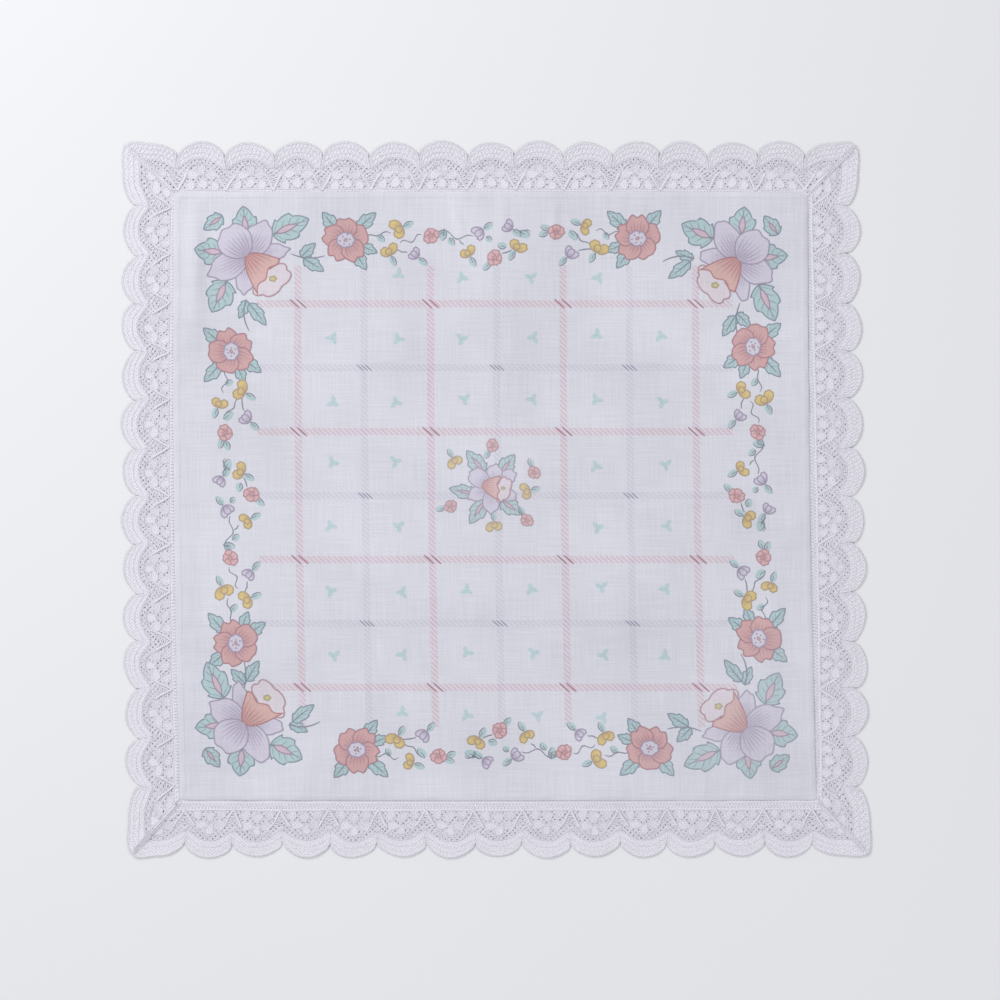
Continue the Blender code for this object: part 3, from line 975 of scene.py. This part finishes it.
def long_flower(at, turn, size, leaves, petals, trumpet_turn, throat=(0.0, 0.0)):
    """Leaves, a star of lined petals over them, and the trumpet."""
    for number, row in enumerate(leaves):
        foot = rotated((row["x"], row["y"]), turn, at)
        leaf(foot, turn + row["turn"], row["long"], row["wide"], 1 + number % 2)
    for number, row in enumerate(petals):
        petal(at, turn + row["turn"], row["long"], row["wide"], LILAC, 4 + number, veins=8.0,
              broad=row["broad"], point=row["point"], size=(13, 25))
    trumpet(rotated(throat, turn, at), turn + trumpet_turn, size, 5 + len(petals))


def corner(s, t, turn, slide):
    for number, row in enumerate(CORNER_TWIGS):
        out = slide * (number == 0)
        start, end = (rotated((row[f"x{k}"] + out, row[f"y{k}"]), turn, (s, t)) for k in (0, 1))
        stroke(start, end, 0.5, STEM, bend=row["bend"], layer=3)
    for number, row in enumerate(TWIG_LEAVES):
        foot = rotated((row["x"] + slide * (number < 2), row["y"]), turn, (s, t))
        leaf(foot, turn + row["turn"], row["long"], row["wide"], number % 2, flame=False)
    long_flower((s, t), turn, 1.0, CORNER_LEAVES, CORNER_PETALS, TRUMPET_TURN)


BLOSSOM_LEAVES = table(
    "turn from long wide",
    (130, 5.2, 8.6, 5.6),
    (42, 6.0, 9.4, 5.6),
    (305, 5.2, 8.6, 5.4),
    (338, 6.0, 7.0, 4.6),
)


def blossom(at, turn, mirrored):
    """A round flower of five notched petals round a lilac heart, with leaves behind it."""
    side = -1 if mirrored else 1
    for number, row in enumerate(BLOSSOM_LEAVES):
        aim = turn + (180 - row["turn"] if mirrored else row["turn"])
        leaf(polar(at, aim, row["from"]), aim, row["long"], row["wide"], number % 2, flame=False)
    for step in range(5):
        petal(at, turn + 18 + side * 72 * step, 9.2 - 0.5 * (step % 2), 8.8, BLOSSOM, 3 + step, veins=6.0,
              broad=0.46, point=2.2, notched=0.10, size=(11, 31))
    disc(at, 3.5, HEART, 9, lobes=7, ruffle=0.05, squash=0.85, turn=turn)
    for step in range(6):
        dot = polar(at, turn + 60 * step + 12, 1.3 + 0.5 * (step % 2))
        fill = (HEART[1], HEART[1])
        blade(dot, 60 * step, 0.7, 0.6, fill, 10, full=1.0, point=0.6, outlined=False, size=(5, 3))
    disc(at, 0.8, (HEART[0], BLOSSOM[1]), 10, squash=0.7, turn=turn + 30)


BUD_LAYER = 2


def round_bud(at, turn, inks, size):
    """A ruffled rosette of five small petals of uneven reach."""
    for step in range(5):
        reach = size * (3.3 - 0.35 * (step % 3))
        petal(at, turn + 72 * step, reach, 3.4 * size, inks, BUD_LAYER + step, veins=2.0, broad=0.6,
              point=2.4, notched=0.08 * (step % 2), size=(6, 13))
    disc(at, 0.8 * size, inks, BUD_LAYER + 5, squash=0.75, turn=turn)


def fan_bud(at, turn, inks, petals):
    """A few petals opening from one foot, away from the small leaf; each row is its lean, length and width."""
    foot = polar(at, turn, 2.1)
    for number, (lean, long, wide) in enumerate(petals):
        petal(foot, turn + 180 + lean, long, wide, inks, BUD_LAYER + number, veins=4.0, broad=0.6,
              point=2.2, size=(7, 17))


def bud(at, turn, ink, size=1.0):
    if ink == "coral":
        round_bud(at, turn, CORAL, size)
    elif ink == "yellow":
        rows = ((-38, 5.4 * size, 3.9 * size), (36, 4.9 * size, 4.1 * size), (8, 3.2 * size, 3.0 * size))
        fan_bud(at, turn, YELLOW, rows)
    else:
        rows = ((-30, 5.2 * size, 3.1 * size), (30, 5.0 * size, 3.0 * size), (2, 4.4 * size, 3.0 * size))
        fan_bud(at, turn, LILAC, rows)


# One side's border, from its middle: along to the right, in from the cloth's edge, and which way the small leaf lies
BORDER = table(
    "ink along in turn",
    ("yellow", -36.1, 14.1, 25),
    ("yellow", -39.4, 22.1, 295),
    ("lilac", -29.8, 23.4, 320),
    ("coral", -23.7, 16.6, 15),
    ("lilac", -5.7, 15.5, 38),
    ("yellow", -10.0, 22.5, 300),
    ("coral", 0.4, 24.9, 228),
    ("yellow", 9.0, 20.4, 240),
    ("lilac", 5.2, 13.0, 325),
    ("coral", 23.4, 15.3, 160),
    ("lilac", 28.8, 23.1, 228),
    ("yellow", 34.7, 13.2, 160),
    ("yellow", 39.2, 21.1, 240),
)
# Wavy stems between the buds
STEMS = table(
    "a0 i0 a1 i1 bend wave",
    (-48.6, 17.6, -38.6, 15.7, 0.06, 0.06),
    (-35.2, 19.5, -27.0, 16.3, -0.04, 0.10),
    (-36.4, 21.9, -32.4, 22.9, -0.05, 0.03),
    (-19.4, 14.6, -7.8, 16.8, -0.12, 0.07),
    (-13.2, 18.4, -11.4, 20.0, 0.0, 0.05),
    (2.9, 23.2, 6.6, 21.9, -0.06, 0.0),
    (7.0, 15.2, 13.8, 15.4, 0.10, 0.09),
    (30.4, 15.4, 36.0, 19.8, -0.10, 0.05),
    (31.6, 22.2, 36.6, 21.6, 0.05, 0.0),
    (38.2, 14.8, 47.6, 16.3, 0.03, 0.10),
)
STEM_LEAVES = table(
    "along in turn long wide",
    (-43.6, 16.3, 318, 3.6, 2.0),
    (-18.6, 14.0, 262, 4.6, 2.6),
    (-16.9, 17.4, 310, 3.4, 2.0),
    (-3.0, 17.0, 330, 2.6, 1.8),
    (4.6, 21.0, 165, 3.4, 2.4),
    (9.2, 15.0, 340, 4.6, 2.8),
    (20.4, 15.2, 205, 3.8, 2.2),
    (28.4, 14.6, 310, 4.4, 2.6),
    (41.4, 15.2, 300, 3.2, 1.9),
)
# side: the turn that brings the top side round to it, half the length to it, and how much further in its border lies
BORDER_SIDES = {
    "top": (0, COTTON_HIGH / 2, 0.0, 1.2),
    "right": (-90, COTTON_WIDE / 2, 2.6, -0.4),
    "bottom": (180, COTTON_HIGH / 2, 1.5, -1.5),
    "left": (90, COTTON_WIDE / 2, 4.2, 0.4),
}


def border(side):
    turn, half, further, shift = BORDER_SIDES[side]

    def place(along, inward):
        return rotated((along + shift, half - inward - further), turn)

    for row in STEMS:
        stroke(place(row["a0"], row["i0"]), place(row["a1"], row["i1"]), 0.5, STEM, row["bend"], row["wave"])
    for row in STEM_LEAVES:
        loose_leaf(place(row["along"], row["in"]), turn + row["turn"], row["long"], row["wide"])
    for number, row in enumerate(BORDER):
        at, aim = place(row["along"], row["in"]), turn + row["turn"]
        loose_leaf(polar(at, aim, 2.2), aim, 4.2, 2.0)
        bud(at, aim, row["ink"], 1.0 - 0.09 * (number % 3))
    blossom(place(-55.6, 18.2), turn, False)
    blossom(place(53.8, 17.6), turn, True)


POSY_AT = (-0.4, 3.4)
POSY_BUDS = table(
    "ink x y turn",
    ("coral", 0.9, 15.6, 240),
    ("yellow", -13.2, 9.2, 120),
    ("coral", 16.2, 5.3, 110),
    ("yellow", 12.8, -1.7, 15),
    ("coral", -15.0, -7.3, 195),
    ("yellow", 1.1, -15.0, 95),
    ("coral", 13.3, -12.6, 120),
)
POSY_LEAVES = table(
    "x y turn long wide",
    (-2.2, 5.6, 130, 10.6, 6.6),
    (3.4, 4.6, 53, 9.6, 6.4),
    (-5.8, -2.6, 168, 10.2, 5.8),
    (-2.2, -4.6, 237, 11.0, 6.6),
    (3.6, -5.0, -34, 9.6, 6.6),
)
POSY_PETALS = table(
    "turn long wide broad point",
    (31, 10.9, 6.0, 0.6, 2.0),
    (-24, 10.6, 5.8, 0.55, 1.4),
    (75, 8.9, 6.2, 0.6, 1.6),
    (206, 9.8, 6.0, 0.5, 1.3),
    (270, 10.2, 6.6, 0.55, 1.4),
    (143, 9.6, 7.2, 0.6, 2.4),
)


def posy():
    """The small bunch at the middle of the cloth."""
    for row in POSY_BUDS:
        at = (POSY_AT[0] + row["x"], POSY_AT[1] + row["y"])
        loose_leaf(polar(at, row["turn"], 2.2), row["turn"], 3.6, 1.8)
        bud(at, row["turn"], row["ink"], 0.82)
    long_flower(POSY_AT, 0, 0.62, POSY_LEAVES, POSY_PETALS, -12, (-3.0, 0.8))


SPRIG_COLUMNS = (-59.8, -35.0, -10.0, 15.0, 39.8, 64.4)
SPRIG_ROWS = (82.4, 59.5, 35.6, 12.1, -11.6, -35.1, -59.4, -82.0)


def sprigs():
    """Tiny three-leaved sprigs in the plaid's squares, each turned its own way."""
    for i, s in enumerate(SPRIG_COLUMNS):
        for j, t in enumerate(SPRIG_ROWS):
            near_posy = abs(s - 1.0) < 18 and abs(t - 2.6) < 18
            if near_posy or (j in (0, 7) and i in (0, 5)):
                continue
            turn = 90 + 47 * ((3 * i + 5 * j) % 7) - 140
            at = (s + 0.8 * np.sin(2.1 * i + j), t + 0.8 * np.cos(1.7 * j + i))
            for lean, reach in ((0, 3.0), (105, 2.7), (-120, 2.2)):
                blade(at, turn + lean, reach, 1.7, (SPRIG, SPRIG), 0, full=0.8, outlined=False, size=(7, 5))


def crossings():
    """Longer, darker strokes where two bands of one ink cross."""
    for i in np.arange(-2, 2.5, 0.5):
        for j in np.arange(-2, 2.5, 0.5):
            pink = i % 1 > 0 and j % 1 > 0
            lilac = i % 1 == 0 and j % 1 == 0 and abs(i) + abs(j) > 0 and max(abs(i), abs(j)) < 2
            at = (PLAID_S["start"] + i * PLAID_S["pitch"], PLAID_T["start"] + j * PLAID_T["pitch"])
            for shift in ((-1.25, 1.35) if pink else (-1.5, 0.0, 1.5) if lilac else ()):
                reach = 2.5 if pink else 1.7
                start = polar((at[0] + shift, at[1]), 138, reach)
                end = polar((at[0] + shift, at[1]), -42, reach)
                stroke(start, end, 0.62 if pink else 0.5, CROSS_PINK if pink else CROSS_LILAC)


def ink_paling(s, t):
    """How far the print's inks are paled towards the cotton's white there: most in the lower right corner and in the
    middle.
    """
    return 0.17 * max(ease((s - t - 140) / 35), ease((32 - np.hypot(s, t - 2)) / 12))


def printed_shapes(coating):
    """All printed shapes as one piece lying on the cotton, each drawn over those of a lower layer."""
    for side in BORDER_SIDES:
        border(side)
    for row in CORNERS:
        corner(row["s"], row["t"], row["turn"], row["slide"])
    posy()
    sprigs()
    crossings()
    points, quads, uvs, start = [], [], [], 0
    layers = {name: [] for name in SHAPE_LAYERS}
    for shape in printed:
        grid = on_cotton(shape["s"], shape["t"], 0.035 + 0.012 * shape["layer"])
        cells = quads_of((1, *grid.shape[:2]))
        corners = grid.reshape(-1, 3)[cells[:, :3]]
        if np.cross(corners[:, 1] - corners[:, 0], corners[:, 2] - corners[:, 0])[:, 2].sum() < 0:
            cells = cells[:, ::-1]
        quads.append(cells + start)
        flat = grid.reshape(-1, 3)
        points.append(flat)
        uvs.append(shape["uv"].reshape(-1, 2))
        fade = ink_paling(shape["s"].mean(), shape["t"].mean())
        for name in ("fill", "line"):
            ink = np.array(shape[name]) * (1 - fade) + np.array(COTTON_WHITE) * fade
            layers[name].append(np.tile(ink, (len(flat), 1)))
        layers["edge"].append(shape["edge"].ravel())
        layers["veins"].append(np.full(len(flat), shape["veins"]))
        start += len(flat)
    joined = {name: np.concatenate(values) for name, values in layers.items()}
    points, quads, uvs = (np.concatenate(values) for values in (points, quads, uvs))
    return build("printed_flowers", points, quads, coating, uvs, joined)


# The cotton and its stitches


def cotton_square(coating):
    """The cotton as a closed thin sheet; its uv is its flat lengths in metres, which the plaid follows."""
    rows, columns = COTTON_TOP.shape[:2]
    count = rows * columns
    top = quads_of((1, rows, columns))
    index = np.arange(count).reshape(rows, columns)
    rim = np.concatenate([index[:, 0], index[-1, 1:], index[-2::-1, -1], index[0, -2::-1]])
    walls = np.stack([rim[:-1] + count, rim[1:] + count, rim[1:], rim[:-1]], axis=-1)
    quads = np.concatenate([top, top[:, ::-1] + count, walls])
    points = np.concatenate([COTTON_TOP.reshape(-1, 3), COTTON_LOW.reshape(-1, 3)])
    flat = np.stack(np.meshgrid(COTTON_S, COTTON_T, indexing="ij"), axis=-1).reshape(-1, 2) * MM
    return build("cotton", points, quads, coating, np.concatenate([flat, flat]))


def hem_stitches(coating):
    """A row of small machine stitches just inside the hem's fold, each a short bowed thread sunk at both ends."""
    parts = []
    inset, spacing, long = 2.1, 1.9, 1.35
    share = np.linspace(0, 1, 6)[None]
    for turn, half, length in ((0, COTTON_HIGH / 2, COTTON_WIDE), (90, COTTON_WIDE / 2, COTTON_HIGH),
                               (180, COTTON_HIGH / 2, COTTON_WIDE), (270, COTTON_WIDE / 2, COTTON_HIGH)):
        count = int((length - 2 * inset) / spacing)
        start = -0.5 * count * spacing + spacing * np.arange(count)[:, None]
        along = start + 0.2 + long * share
        across = half - inset + 0.12 * np.sin(start * 0.9) + 0 * share
        angle = np.radians(turn)
        s = along * np.cos(angle) - across * np.sin(angle)
        t = along * np.sin(angle) + across * np.cos(angle)
        points = on_cotton(s, t, 0.0)
        points[..., 2] += 0.07 * np.sin(PI * share) - 0.03
        parts.append(cords(points, 0.30, 0.14, 4))
    points, quads, uv = join_grids(parts)
    return build("hem_stitches", points, quads, coating, uv)


# Camera, light and floor


def stage():
    """Camera straight above, as in the photograph, a pale floor and soft light from the upper left."""
    scene = bpy.context.scene
    scene.view_settings.view_transform = "Standard"
    scene.view_settings.look = "None"
    camera = bpy.data.objects.new("camera", bpy.data.cameras.new("camera"))
    camera.data.lens = 100.0
    camera.data.sensor_width = 36.0
    camera.data.clip_start = 0.01
    camera.location = Vector((0.0016, 0.0, 1.0425))
    bpy.context.collection.objects.link(camera)
    scene.camera = camera
    floor_mesh = bpy.data.meshes.new("floor")
    reach = 1.6
    square = [(-reach, -reach, 0), (reach, -reach, 0), (reach, reach, 0), (-reach, reach, 0)]
    floor_mesh.from_pydata(square, [], [(0, 1, 2, 3)])
    floor_mesh.materials.append(plain_material("pale_floor", (0.90, 0.90, 0.91), 0.8))
    floor = bpy.data.objects.new("floor", floor_mesh)
    bpy.context.collection.objects.link(floor)
    world = bpy.data.worlds.new("soft_room")
    world.use_nodes = True
    world.node_tree.nodes["Background"].inputs[0].default_value = (0.93, 0.95, 1.0, 1.0)
    world.node_tree.nodes["Background"].inputs[1].default_value = 0.452
    scene.world = world
    lamps = (("window", (-0.75, 0.65, 0.80), 0.7, 9.3), ("fill", (0.6, -0.7, 1.1), 0.9, 4.4))
    for name, place, size, power in lamps:
        lamp = bpy.data.lights.new(name, "AREA")
        lamp.size = size
        lamp.energy = power
        holder = bpy.data.objects.new(name, lamp)
        holder.location = place
        holder.rotation_euler = (-Vector(place)).to_track_quat("-Z", "Y").to_euler()
        bpy.context.collection.objects.link(holder)


def main():
    thread = thread_material()
    cotton = cotton_square(cotton_material())
    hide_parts("cotton_square")
    flowers = printed_shapes(ink_material())
    stitches = hem_stitches(thread)
    clothwork = lace_clothwork(net_material("lace_clothwork_net", LACE_WHITE, 0.90, 0.18))
    # The ground net's colour is painted shade: the lace's white made darker
    ground = lace_ground(net_material("lace_ground_net", NET_WHITE_PAINTED_SHADE, 1.40, 0.50))
    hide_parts("lace_edging")
    threads = [lace_cords(side, thread) for side in SIDES]
    for piece in (cotton, flowers, stitches, clothwork, ground, *threads):
        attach(piece, "root")
    stage()


main()
